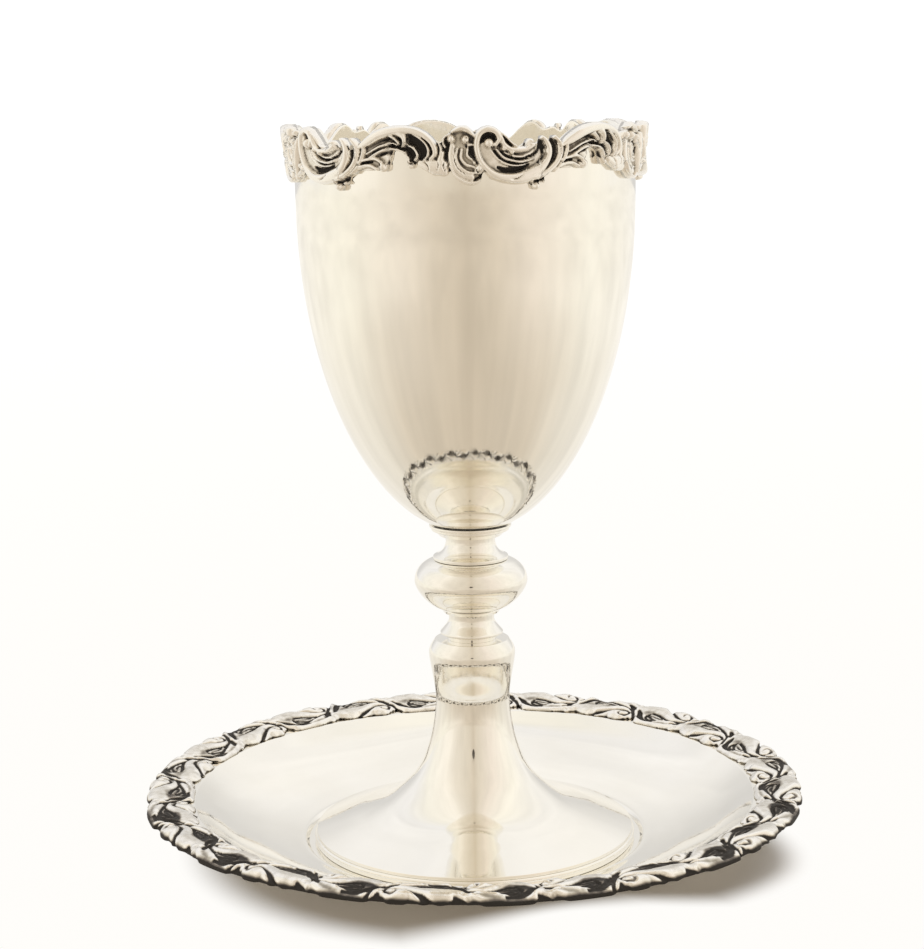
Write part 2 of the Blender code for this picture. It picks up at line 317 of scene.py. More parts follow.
def stretched(tree, scale):
    """Object coordinates, squeezed along each axis."""
    return stretched_by(tree, add_node(tree, "TexCoord").outputs["Object"], scale)


def glow_when_deep(tree, shader):
    """Stand in for the light that a mirror in a mirror still brings after many bounces.

    It is weak on the stem, whose crevices stay dark, and full in the bowl.
    """
    where = add_node(tree, "SeparateXYZ", Vector=add_node(tree, "TexCoord").outputs["Object"])
    most = remapped(tree, where.outputs["Z"], 80 * MM, 100 * MM, STEM_GLOW, BOWL_GLOW)
    depth = add_node(tree, "LightPath").outputs["Ray Depth"]
    deep = remapped(tree, depth, GLOW_AFTER, GLOW_AFTER + 1, 0.0, most)
    connect(tree, shader, Emission_Color=(1.0, 0.97, 0.95, 1), Emission_Strength=deep)


def polished_silver():
    material, tree, shader = new_material("polished_silver")
    glow_when_deep(tree, shader)
    where = stretched(tree, (1, 1, 1))
    bloom = noise(tree, 60, 3, where)
    tint = ramp(tree, bloom, [(0.3, (0.955, 0.935, 0.885)), (0.7, (0.925, 0.90, 0.84))])
    wiped = noise(tree, 900, 4, stretched(tree, (1, 1, 0.12)))
    rough = grey_ramp(tree, wiped, [(0.3, 0.035), (0.75, 0.11)])
    ripple = noise(tree, 220, 2, where)
    bump = add_node(tree, "Bump", Strength=0.05, Distance=0.0001, Height=ripple).outputs["Normal"]
    connect(tree, shader, Base_Color=tint, Roughness=rough, Normal=bump, Metallic=1.0)
    return material


def cast_silver():
    """Silver that is bright on its high points and black with oxide in its recesses, with painted shade as
    well: the darkening round the forms also stands in for occlusion and darker reflections.
    """
    material, tree, shader = new_material("oxidised_cast_silver")
    where = stretched(tree, (1, 1, 1))
    depth = add_node(tree, "Attribute", {"attribute_name": "recess"}).outputs["Fac"]
    uneven = noise(tree, 700, 3, where)
    shifted = calculated(tree, "MULTIPLY_ADD", uneven, 0.22, depth)
    black = grey_ramp(tree, shifted, [(0.52, 0.0), (0.74, 1.0)])
    # The grey steps are painted shade on the forms' slopes. The black is the recesses' oxide together with
    # painted shade.
    colour = ramp(
        tree,
        shifted,
        [
            (0.34, (0.93, 0.90, 0.85)),
            (0.42, (0.76, 0.72, 0.65)),
            (0.50, (0.50, 0.46, 0.39)),
            (0.60, (0.22, 0.19, 0.16)),
            (0.74, (0.03, 0.025, 0.02)),
        ],
    )
    rough = grey_ramp(tree, shifted, [(0.3, 0.16), (0.7, 0.6)])
    metallic = calculated(tree, "SUBTRACT", 1.0, black)
    bump = add_node(tree, "Bump", Strength=0.25, Distance=0.00015, Height=uneven).outputs["Normal"]
    connect(tree, shader, Base_Color=colour, Roughness=rough, Normal=bump, Metallic=metallic)
    connect(tree, shader, Specular_IOR_Level=0.2)
    return material


def turned_metal(name, light, dark):
    """A lathe-turned metal with fine rings and a little dullness."""
    material, tree, shader = new_material(name)
    rings = noise(tree, 2500, 2, stretched(tree, (0.05, 0.05, 1)))
    stain = noise(tree, 150, 3, stretched(tree, (1, 1, 1)))
    colour = ramp(tree, stain, [(0.35, light), (0.7, dark)])
    rough = grey_ramp(tree, rings, [(0.3, 0.22), (0.7, 0.42)])
    bump = add_node(tree, "Bump", Strength=0.3, Distance=0.0001, Height=rings).outputs["Normal"]
    connect(tree, shader, Base_Color=colour, Roughness=rough, Normal=bump, Metallic=1.0)
    return material


MATERIALS = {
    "polished_silver": polished_silver(),
    "oxidised_cast_silver": cast_silver(),
    "nickel_silver": turned_metal("nickel_silver", (0.72, 0.70, 0.66), (0.60, 0.57, 0.52)),
    "brass": turned_metal("brass", (0.83, 0.66, 0.36), (0.66, 0.50, 0.26)),
}

# ---------------------------------------------------------------- plain silver


def lip_lift(border):
    """How far the bowl's lip stands above its section when it follows the border's top edge."""
    lip = max(point[1] for point in section("bowl")[0])
    outline = RIM_FOOT + border.smoothed(border.edges(0.6, 0.6)[1], 0.6) - LIP_BELOW_BORDER
    angles = border.angles(RIM_MM_PER_DEGREE)
    shoulder = lip - LIP_FADE

    def lift(angle, height):
        share = np.clip((height - shoulder) / (lip - shoulder), 0, 1)
        return share * (np.interp(angle % 360, angles, outline, period=360) - lip)

    return lift


def plain_pieces(border):
    turned_piece("bowl", 420, lift=lip_lift(border), rounding=0.2)
    turned_piece("plate", 360, rounding=0.2)
    turned_piece("foot", 256, drop=FOOT_GAP)
    turned_piece("foot_rim_wire", 256, corner=50, drop=FOOT_GAP, pitch=0.2)
    turned_piece("collar", 160, pitch=0.3, drop=STACK_GAP)
    turned_piece("upper_neck", 160, pitch=0.3, drop=STACK_GAP)
    turned_piece("lower_bead", 160, pitch=0.2, corner=50, drop=STACK_GAP, rounding=0.05)
    turned_piece("lower_neck", 160, pitch=0.2, drop=STACK_GAP, rounding=0.05)
    turned_piece("tie_rod", 96, pitch=0.5)
    turned_piece("clamp_washer", 96, pitch=0.5)
    knop()
    frame["nodes"]["tie_nut"].data.materials.clear()
    frame["nodes"]["tie_nut"].data.materials.append(MATERIALS["brass"])


def knop():
    """Both raised halves as one smooth hollow knop: the soldered seam is polished away."""
    halves = [section("knop_upper")[0], section("knop_lower")[0]]
    bore = min(half[:, 0].min() for half in halves)
    widest = max(half[:, 0].max() for half in halves)
    middle = (height_of("knop_upper", 0) + height_of("knop_lower", 1)) / 2
    top, bottom = height_of("knop_upper", 1), height_of("knop_lower", 0)
    points = []
    for turned in np.linspace(-math.pi / 2, math.pi / 2, 41):
        above = turned > 0
        reach, power = (KNOP_RISE, KNOP_ROUND_ABOVE) if above else (KNOP_FALL, KNOP_ROUND_BELOW)
        away = math.sin(turned) * (top - middle if above else middle - bottom)
        swell = (1 - (abs(away) / reach) ** power) ** (1 / power) if abs(away) < reach else 0
        points.append((KNOP_END_RADIUS + (widest - KNOP_END_RADIUS) * swell, middle + away))
    outline = np.array([(bore, bottom - STACK_GAP), *points, (bore, top)])
    fine = turned_outline(outline, True, 0.25, 50, 0.1)
    finish_piece(turn("knop_turned", fine, True, 192), "knop_upper", "knop_lower")


# ---------------------------------------------------------------- relief


class Relief:
    """A height map over a strip that closes on itself: x runs along the strip and y across it."""

    def __init__(self, length, low, high, pitch):
        self.columns = round(length / pitch)
        self.pitch = length / self.columns
        self.low = low
        self.rows = int((high - low) / self.pitch) + 1
        self.height = np.zeros((self.rows, self.columns))
        self.draw_from(0)

    def draw_from(self, origin, direction=1, mirror=None):
        """Set where x = 0 lies for what is drawn next, which way x runs and a y to mirror about."""
        self.origin, self.direction, self.mirror = origin, direction, mirror

    def trace(self, points, widths):
        """The cells a band covers: their numbers, how far off its middle and how far along it."""
        line = curve_through(points, 0.12) * (self.direction, 1) + (self.origin, 0)
        if self.mirror is not None:
            line[:, 1] = 2 * self.mirror - line[:, 1]
        widths = np.atleast_1d(widths)
        corner = (0, self.low / self.pitch)
        first = np.floor((line.min(0) - widths.max()) / self.pitch - corner).astype(int)
        last = np.ceil((line.max(0) + widths.max()) / self.pitch - corner).astype(int)
        rows = np.arange(max(first[1], 0), min(last[1], self.rows - 1) + 1)
        columns = np.arange(first[0], last[0] + 1)
        x, y = np.meshgrid(columns * self.pitch, rows * self.pitch + self.low)
        away = (x[..., None] - line[:, 0]) ** 2 + (y[..., None] - line[:, 1]) ** 2
        nearest = away.argmin(-1)
        distance = np.sqrt(np.take_along_axis(away, nearest[..., None], -1)[..., 0])
        along = nearest / max(len(line) - 1, 1)
        half = np.interp(along, np.linspace(0, 1, len(widths)), widths)
        return np.ix_(rows, columns % self.columns), np.clip(distance / half, 0, 1), along

    def band(self, points, widths, heights, full=2.0):
        """Raise a band along a curve. widths are half widths, and full above 2 flattens its top."""
        cells, off, along = self.trace(points, widths)
        heights = np.atleast_1d(heights)
        top = np.interp(along, np.linspace(0, 1, len(heights)), heights)
        self.height[cells] = np.maximum(self.height[cells], top * np.sqrt(1 - off**full))

    def groove(self, points, widths, depth=1.5):
        """Carve a groove along a curve."""
        cells, off, _ = self.trace(points, widths)
        lowered = np.maximum(self.height[cells] - depth * (1 - off**2), 0.08)
        self.height[cells] = np.where(off < 1, np.minimum(lowered, self.height[cells]), self.height[cells])

    def bead(self, x, y, radius, height, full=2.0):
        self.band([(x, y), (x + 0.01, y)], radius, height, full)

    def angles(self, mm_per_degree):
        return np.arange(self.columns) * self.pitch / mm_per_degree

    def weights(self, spread, more=0):
        """Steps to either side, and how much each counts in a mean spread over a distance."""
        reach = int(3 * spread / self.pitch) + more
        steps = np.arange(-reach, reach + 1)
        weights = np.exp(-((steps * self.pitch / spread) ** 2) / 2)
        return steps, weights / weights.sum()

    def blurred(self, spread):
        """The height map softened over a distance."""
        steps, weights = self.weights(spread)
        soft = sum(w * np.roll(self.height, s, axis=1) for s, w in zip(steps, weights))
        padded = np.pad(soft, ((len(steps) // 2,) * 2, (0, 0)), mode="edge")
        return sum(w * padded[i : i + self.rows] for i, w in enumerate(weights))

    def edges(self, floor, spread):
        """The lowest and highest y of the raised work in each column, smoothed along the strip."""
        raised = self.height > floor
        low = raised.argmax(0) * self.pitch + self.low
        high = (self.rows - 1 - raised[::-1].argmax(0)) * self.pitch + self.low
        return self.smoothed(low, spread), self.smoothed(high, spread)

    def smoothed(self, row, spread):
        steps, weights = self.weights(spread, more=1)
        return sum(w * np.roll(row, s) for s, w in zip(steps, weights))

    def sample(self, field, y):
        """A field read at each y, where y has one column for each column of the map."""
        at = np.clip((y - self.low) / self.pitch, 0, self.rows - 1.001)
        row = at.astype(int)
        share = at - row
        column = np.broadcast_to(np.arange(self.columns), y.shape)
        return field[row, column] * (1 - share) + field[row + 1, column] * share

    def recess(self):
        """From 0 on open high points to 1 deep in a groove."""
        # These terms set oxide and painted shade together: grooves and the bare ground between forms come
        # out dark.
        close = self.blurred(0.3) - self.height
        wide = self.blurred(0.8) - self.height
        ground = np.clip(1 - self.height / 0.8, 0, 1)
        return np.clip(0.27 + 0.5 * close + 0.22 * wide + 0.5 * ground, 0, 1)


def relief_piece(node, rows, recess):
    """Close a stack of vertex rows round the axis into the piece that stands for a border."""
    verts = np.concatenate(rows)
    item = mesh_object(node + "_relief", verts, grid_faces(len(rows), rows[0].shape[0], 0, True), sharp=180)
    attribute = item.data.attributes.new("recess", "FLOAT", "POINT")
    attribute.data.foreach_set("value", np.concatenate(recess).astype(np.float32))
    return finish_piece(item, node)


# ---------------------------------------------------------------- the goblet's border

RIM_RADIUS = 40.0
RIM_MM_PER_DEGREE = math.radians(RIM_RADIUS)
RIM_FOOT = 150.3  # the height that the border's drawings call zero
RIM_TOP = 14.6
RIM_ROWS = 62
RIM_SKIN = 0.3  # how far the border's bare ground stands off the bowl
RIM_BACK = 0.12
RIM_FLARE = 0.03  # how fast the border leans outwards with height
FLARE_FROM = 6.0
BACK_OXIDE_AND_SHADE = 0.15  # the share of the front's oxide and painted shade that the back keeps
LEAVES = (-19.2, 45.1, 118.9, 192.9, 266.8)  # where each repeat's leaf stands, in degrees


def scroll(r):
    """The C-scroll shell: a dished floor with two ridges, held by a band that curls at both ends."""
    r.band([(-26.0, 8.0), (-23.6, 5.6), (-20.2, 5.0), (-16.8, 6.8)], (2.4, 3.0, 3.0, 2.4), 0.85, full=8)
    floor = [(-27.4, 8.8), (-26.2, 6.5), (-23.6, 5.1), (-20.6, 5.0), (-17.4, 6.2)]
    r.band(floor, (1.5, 2.0, 1.9, 1.7, 1.3), (1.45, 1.25, 0.75, 0.7, 0.8), full=5)
    r.groove([(-24.6, 4.9), (-22.4, 4.2), (-19.6, 4.7), (-17.8, 5.4)], (0.3, 0.7, 0.6, 0.2), 0.8)
    ridge = [(-26.0, 8.2), (-24.6, 6.6), (-22.8, 5.6), (-20.7, 5.2), (-18.6, 5.4)]
    r.band(ridge, (0.2, 0.3, 0.28, 0.15), 1.7)
    ridge = [(-24.9, 8.5), (-23.4, 6.9), (-21.3, 6.2), (-19.1, 6.0), (-16.8, 6.6)]
    r.band(ridge, (0.25, 0.36, 0.36, 0.25), 2.0)
    r.band([(-23.2, 7.9), (-21.4, 7.2), (-19.4, 7.0), (-17.6, 7.4)], (0.25, 0.45, 0.3), 1.2)
    r.groove([(-25.4, 8.2), (-24.1, 6.8), (-22.1, 5.9), (-19.9, 5.6), (-17.8, 5.9)], (0.14, 0.2, 0.14), 1.1)
    r.groove([(-23.9, 8.1), (-22.4, 7.0), (-20.4, 6.5), (-18.0, 6.7)], (0.14, 0.2, 0.14), 0.9)
    outer = [(-25.1, 9.5), (-24.4, 10.8), (-25.1, 12.1), (-26.7, 12.6), (-28.3, 11.9), (-29.0, 10.3)]
    outer += [(-29.0, 8.4), (-28.3, 6.4), (-26.9, 4.6), (-25.1, 3.3), (-22.8, 2.7), (-19.8, 2.7)]
    outer += [(-17.0, 3.6), (-14.9, 5.0), (-13.7, 6.9), (-13.5, 8.7), (-14.2, 10.2), (-15.0, 10.9)]
    widths = [0.6, 0.75, 0.85, 0.85, 0.8, 0.75, 0.72, 0.8, 1.0]
    widths += [1.15, 1.3, 1.5, 1.6, 1.3, 1.0, 0.95, 0.8, 0.45]
    r.band(outer, widths, (2.2, 2.5, 2.4, 2.3, 2.3, 2.4, 2.4, 2.3, 2.3, 2.3, 1.9), full=3)
    r.bead(-26.5, 9.8, 1.3, 2.5)
    r.groove([(-27.3, 11.3), (-26.1, 11.4), (-25.3, 10.8), (-25.4, 10.1)], (0.2, 0.32, 0.3, 0.15), 1.9)
    inner = [(-25.3, 12.2), (-24.0, 11.0), (-23.4, 9.6), (-22.0, 8.6)]
    inner += [(-20.2, 8.4), (-18.3, 8.6), (-17.0, 9.3)]
    r.band(inner, (0.5, 0.8, 0.75, 0.7), 2.3)
    r.band([(-24.6, 12.3), (-22.9, 11.0), (-21.6, 9.7), (-20.6, 9.1)], (0.3, 0.36, 0.3), 2.1)
    r.groove([(-23.6, 11.3), (-22.8, 10.2), (-21.8, 9.1)], (0.12, 0.24, 0.14), 1.5)
    r.bead(-23.3, 8.8, 0.8, 2.35)
    r.bead(-21.7, 8.0, 0.75, 2.3)
    r.bead(-17.6, 9.7, 1.1, 2.35)
    r.groove([(-17.9, 9.9), (-17.2, 9.8)], 0.22, 0.6)
    hook = [(-16.1, 10.9), (-15.5, 9.8), (-15.6, 8.5), (-16.6, 7.4), (-18.4, 7.0)]
    r.groove(hook, (0.4, 0.45, 0.36, 0.25, 0.1), 2.2)
    r.groove([(-14.5, 9.3), (-14.1, 8.1), (-14.6, 6.7), (-15.8, 5.6)], (0.1, 0.22, 0.1), 0.9)
    r.groove([(-22.7, 2.5), (-20.8, 2.6), (-19.4, 3.4)], (0.08, 0.16, 0.08), 0.8)
    r.bead(-16.2, 1.0, 0.95, 2.1)
    r.bead(-17.2, 2.0, 0.5, 1.8)
    r.bead(-14.4, 1.8, 0.5, 1.6)
    r.bead(-25.8, 2.8, 0.5, 1.7)
    r.bead(-28.6, 4.7, 1.2, 2.4)
    r.groove([(-29.2, 4.8), (-28.8, 4.0), (-28.1, 4.3)], (0.1, 0.22, 0.1), 1.2)


def ribs(r):
    """The ribs between a scroll and its leaf, which run down into the scroll's outer band."""
    rib = [(-12.0, 10.8), (-10.9, 9.6), (-10.6, 7.8), (-11.4, 5.9)]
    rib += [(-13.1, 4.3), (-15.4, 3.1), (-18.6, 2.2)]
    r.band(rib, (0.55, 0.85, 0.8, 0.8, 0.8, 0.5), 2.2)
    rib = [(-9.1, 10.0), (-8.9, 8.6), (-9.4, 7.0), (-10.6, 5.2), (-12.2, 3.8)]
    r.band(rib, (0.35, 0.6, 0.55, 0.5, 0.35), 2.0)
    r.groove([(-12.6, 10.4), (-12.0, 9.1), (-12.2, 7.9), (-12.7, 6.9)], (0.35, 0.42, 0.25, 0.1), 2.0)
    r.groove([(-11.1, 9.6), (-10.7, 8.4), (-10.8, 7.0)], (0.08, 0.16, 0.08), 0.9)
    r.groove([(-12.9, 5.8), (-13.8, 5.0), (-15.0, 4.2)], (0.08, 0.15, 0.08), 0.9)
    r.groove([(-9.9, 9.6), (-9.7, 8.2), (-10.2, 6.8)], (0.3, 0.26, 0.1), 1.8)


def leaf(r):
    """The acanthus leaf: a plain arching back, a turned-down tip and small leaves beneath it."""
    back = [(-10.4, 9.0), (-8.2, 10.1), (-5.0, 11.7), (-1.6, 12.5), (1.5, 12.6)]
    back += [(4.3, 11.9), (6.2, 10.5), (7.1, 8.9), (7.1, 7.7), (6.2, 6.8)]
    widths = (0.45, 1.1, 1.25, 1.25, 1.15, 1.0, 0.9, 0.8, 0.75, 0.5)
    r.band([(-8.6, 8.4), (-5.6, 9.4), (-2.4, 10.2)], (0.6, 1.1, 0.7), 0.85, full=4)
    r.band([(-10.6, 6.6), (-8.0, 7.3), (-5.6, 7.6)], (1.0, 0.9, 0.4), 0.8, full=6)
    r.band([(-11.0, 5.2), (-8.0, 5.6), (-5.0, 6.4), (-3.4, 7.2)], (0.9, 1.5, 1.5, 0.8), 0.82, full=6)
    r.band(back, widths, (1.7, 2.2, 2.6, 2.7, 2.7, 2.5, 2.4, 2.2, 1.8), full=3)
    r.band([(-2.6, 11.8), (-1.2, 10.9), (-0.4, 9.8)], (0.8, 0.6, 0.2), 2.3)
    r.band([(-0.6, 12.3), (0.6, 11.4), (0.9, 10.4), (0.4, 9.2)], (1.2, 1.0, 0.7, 0.2), 2.6)
    r.groove([(-1.6, 11.6), (-0.5, 10.6), (0.0, 9.6)], (0.08, 0.2, 0.12), 1.4)
    ridge = [(2.2, 11.9), (4.0, 11.0), (5.3, 9.8), (5.8, 8.6), (5.6, 7.4), (4.9, 6.7)]
    r.band(ridge, (0.25, 0.36, 0.36, 0.3), 2.1)
    r.groove([(4.6, 11.0), (6.0, 9.7), (6.4, 8.6), (6.2, 7.5), (5.4, 6.7)], (0.1, 0.17, 0.1), 1.3)
    r.band([(-8.2, 7.8), (-7.0, 8.4), (-4.8, 9.4), (-1.9, 10.0), (-0.9, 9.6)], (0.25, 0.34, 0.34, 0.2), 1.9)
    ridge = [(-7.6, 6.9), (-6.2, 7.7), (-4.0, 8.6), (-1.6, 8.8), (0.4, 8.3), (1.4, 7.3), (1.5, 6.1)]
    r.band(ridge, (0.35, 0.42, 0.42, 0.38), 2.0)
    r.bead(1.9, 5.5, 0.8, 2.0)
    r.groove([(1.5, 6.0), (2.1, 5.9), (2.2, 5.3)], (0.08, 0.2, 0.08), 1.0)
    r.band([(1.5, 9.6), (2.8, 8.9), (3.5, 7.6), (2.9, 6.6)], (0.25, 0.45, 0.45, 0.3), 2.0)
    r.band([(-10.8, 6.1), (-8.2, 6.7), (-6.2, 6.9), (-4.7, 6.2)], (0.35, 0.5, 0.55, 0.5), 1.9)
    r.bead(-4.4, 5.2, 1.2, 2.2)
    r.groove([(-5.6, 5.9), (-4.9, 5.5), (-4.8, 4.8)], (0.08, 0.2, 0.1), 1.1)
    r.band([(-11.8, 4.4), (-9.6, 5.3), (-7.6, 5.5), (-5.8, 4.8)], (0.35, 0.55, 0.5, 0.5), 1.8)
    r.groove([(-10.4, 5.6), (-8.4, 6.1), (-6.6, 6.1)], (0.08, 0.2, 0.08), 1.2)


def lump(r):
    """The folded leaf end that closes a repeat, with small beads and a cap over it."""
    r.band([(4.0, 5.9), (6.4, 5.3), (8.4, 5.2)], (0.9, 1.6, 1.8), (1.6, 1.9, 1.9), full=3)
    r.band([(7.0, 4.4), (9.0, 4.3)], (1.1, 1.2), 1.75, full=3)
    r.band([(8.2, 6.6), (8.6, 8.0)], (1.0, 0.7), 1.6)
    r.groove([(4.7, 6.4), (5.6, 5.4), (5.9, 4.3)], (0.08, 0.17, 0.08), 0.7)
    r.groove([(7.4, 6.6), (7.9, 5.6), (7.6, 4.6)], (0.08, 0.15, 0.08), 0.6)
    r.groove([(9.2, 6.4), (8.9, 5.4), (9.2, 4.4)], (0.08, 0.17, 0.1), 0.8)
    r.band([(8.0, 9.9), (8.4, 8.9), (8.3, 7.7)], (0.3, 0.42, 0.3), 1.7)
    r.band([(10.3, 11.7), (9.2, 11.1), (8.9, 10.0), (9.3, 9.1)], (0.25, 0.34, 0.25), 2.0)
    r.bead(10.6, 10.7, 1.1, 2.2)
    r.bead(13.5, 10.6, 1.1, 2.2)
    r.groove([(13.2, 11.1), (13.8, 11.0), (13.9, 10.4)], (0.08, 0.17, 0.08), 0.8)


def rosette(r):
    """The whirled shell that fills the end of a repeat."""
    r.band([(11.8, 9.4), (12.4, 6.4), (14.6, 4.6)], (1.8, 2.8, 2.4), 0.85, full=8)
    r.band([(11.4, 11.4), (14.2, 11.2)], 1.6, 0.8, full=6)
    rim = [(10.8, 9.2), (10.7, 7.2), (11.3, 5.2), (12.8, 3.7), (14.7, 3.0)]
    r.band(rim, (0.8, 1.05, 1.05, 0.9), (1.5, 1.7, 1.6), full=4)
    outer = [(10.3, 5.4), (11.3, 3.5), (13.2, 2.2), (15.2, 1.8), (16.6, 2.5)]
    r.band(outer, (0.3, 0.5, 0.6, 0.6, 0.4), 2.1)
    r.groove([(11.2, 8.6), (11.1, 6.9), (11.9, 4.9), (13.6, 3.5)], (0.08, 0.14, 0.08), 0.6)
    r.band([(11.9, 9.0), (11.6, 6.9), (12.6, 5.0), (14.2, 4.0), (15.8, 3.8)], (0.25, 0.36, 0.36, 0.2), 1.8)
    r.band([(12.8, 8.8), (12.6, 6.9), (13.6, 5.6), (15.2, 5.1)], (0.3, 0.45, 0.42, 0.25), 1.9)
    r.band([(14.0, 8.8), (13.9, 7.4), (14.9, 6.5)], (0.3, 0.42, 0.3), 1.6)
    r.bead(15.4, 5.9, 0.5, 1.6)
    r.bead(14.8, 3.9, 0.45, 1.7)
    r.band([(10.8, 12.2), (12.5, 12.8), (14.0, 12.5), (15.2, 11.4)], (0.45, 0.8, 0.8, 0.5), 2.2)
    r.band([(14.2, 9.5), (15.6, 9.6)], (0.5, 0.3), 1.3)


def spray(r):
    """The upright leaf with two side curls that fills the longer repeats."""
    r.band([(18.4, 4.2), (19.2, 7.6), (20.2, 10.2)], (2.4, 2.8, 1.8), 0.85, full=8)
    stalk = [(18.6, 2.6), (18.4, 5.2), (19.2, 8.4), (20.4, 10.8)]
    r.band(stalk, (0.7, 1.3, 1.2, 0.4), (1.7, 2.2, 2.3, 1.8), full=3)
    r.groove([(18.5, 3.4), (18.6, 6.2), (19.7, 9.4)], (0.15, 0.3, 0.15), 1.4)
    r.groove([(16.8, 4.6), (17.0, 6.6), (18.2, 8.8)], (0.2, 0.4, 0.25), 1.6)
    r.groove([(20.4, 5.8), (20.8, 7.8), (21.6, 8.4)], (0.3, 0.45, 0.3), 1.6)
    r.groove([(17.6, 10.6), (18.6, 10.9), (19.4, 10.6)], (0.2, 0.4, 0.25), 1.6)
    r.band([(17.9, 6.4), (17.6, 8.4), (16.6, 9.2)], (0.4, 0.5, 0.4), 1.9)
    r.bead(16.8, 10.2, 1.0, 2.1)
    r.groove([(16.4, 10.7), (17.1, 10.8), (17.3, 10.1)], (0.1, 0.2, 0.1), 1.2)
    r.bead(21.2, 5.2, 1.0, 2.0)
    r.groove([(21.4, 5.8), (20.8, 5.8), (20.7, 5.2)], (0.1, 0.2, 0.1), 1.2)
    r.band([(19.6, 3.0), (20.4, 3.6), (21.6, 4.2)], (0.4, 0.5, 0.4), 1.8)
    r.bead(18.4, 12.0, 0.75, 1.9)
    r.bead(21.6, 9.4, 0.7, 1.8)


def rim_drawing():
    """Five repeats. The first is short and has no spray."""
    r = Relief(360 * RIM_MM_PER_DEGREE, 0.0, RIM_TOP, 0.2)
    for number, angle in enumerate(LEAVES):
        r.draw_from(angle * RIM_MM_PER_DEGREE)
        rosette(r)
        ribs(r)
        scroll(r)
        leaf(r)
        lump(r)
        if number > 0:
            spray(r)
    return r


def rim_border(r):
    """Wrap the drawing round the lip. The top of the bowl follows the same outline."""
    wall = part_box("bowl")[1].x / MM
    low, high = r.edges(0.6, 0.25)
    even = np.linspace(0, 1, RIM_ROWS)
    share = 0.5 * even + 0.25 * (1 - np.cos(even * math.pi))
    y = low + (high - low) * share[:, None]
    height = np.maximum(r.sample(r.height, y), 0.3)
    angles = r.angles(RIM_MM_PER_DEGREE)
    flare = RIM_FLARE * (y - FLARE_FROM)
    front = place(wall + RIM_SKIN + height + flare, np.broadcast_to(angles, y.shape), RIM_FOOT + y)
    behind = np.full(r.columns, wall + RIM_BACK)
    back = [place(behind, angles, RIM_FOOT + edge) for edge in (high, low)]
    # Oxide and painted shade from the recess measure.
    dark = r.sample(r.recess(), y)
    relief_piece("rim_border", [*front, *back], [*dark, BACK_OXIDE_AND_SHADE * dark[-1], BACK_OXIDE_AND_SHADE * dark[0]])


# ---------------------------------------------------------------- the plate's border

PLATE_RADIUS = 70.0
PLATE_MM_PER_DEGREE = math.radians(PLATE_RADIUS)
PLATE_HALVES = 27
FIRST_TIP = 12.1  # the angle where the drawing's seam lies
BACK_STRETCH = 1.7  # degrees that the repeats drift towards the front
BAND_MIDDLE = 4.7
INNER_RADIUS = 65.0
INNER_HEIGHT = 12.35
TOP_WIDTH = 8.05
TOP_SLOPE = math.radians(6.4)
EDGE_BEND = 1.0
PLATE_RELIEF = 0.75  # how much of the drawn height the border keeps
PLATE_OUTER = 9.8  # how far down its outer edge the border's face runs
PLATE_ROWS = 48
BEVEL_WIDTH = 2.4
OUTER_SWELL = 0.9  # how much of the relief shows outwards at the edge
FLANGE_SKIN = 0.2
# Painted shade: a dark band down the border's outer edge.
EDGE_PAINTED_SHADE = 0.65
# Painted shade in the leaves' hollows, strongest towards the front.
HOLLOW_PAINTED_SHADE = 0.42
BACK_SHARE = 0.32  # how much of the hollows' painted shade is left at the back


def plate_forms(r):
    """Half a repeat: a broad leaf that wraps a volute, and a hollow eye behind a rim."""
    r.band([(1.0, 4.4), (5.0, 4.6), (10.0, 4.8), (15.6, 4.9)], (3.6, 5.2, 5.3, 4.9), 1.1, full=8)
    blade = [(0.4, 2.9), (3.6, 2.4), (7.4, 2.1), (11.0, 2.7)]
    r.band(blade, (0.7, 2.6, 3.1, 2.6), (1.2, 1.55, 1.75, 1.6), full=3)
    tip = [(11.0, 3.9), (13.6, 5.0), (16.0, 5.0), (17.8, 3.4)]
    r.band(tip, (1.2, 0.9, 0.8, 0.5), (1.6, 1.5, 1.4, 1.2), full=4)
    r.band([(13.4, 1.3), (14.6, 1.2)], 2.3, 1.7, full=2.5)
    rim = [(0.4, 2.9), (1.1, 4.9), (2.2, 7.2), (4.4, 9.3), (9.6, 9.8), (13.4, 9.2), (15.6, 8.2)]
    r.band(rim, (0.5, 0.8, 0.9, 0.9, 0.9, 0.8, 0.5), 1.55, full=3)
    r.band([(10.8, 8.0), (13.4, 7.2), (15.4, 6.2)], (0.9, 1.2, 0.5), 1.45, full=4)
    r.bead(16.2, 9.0, 0.8, 1.5)
    r.bead(17.8, 7.8, 0.85, 1.5)


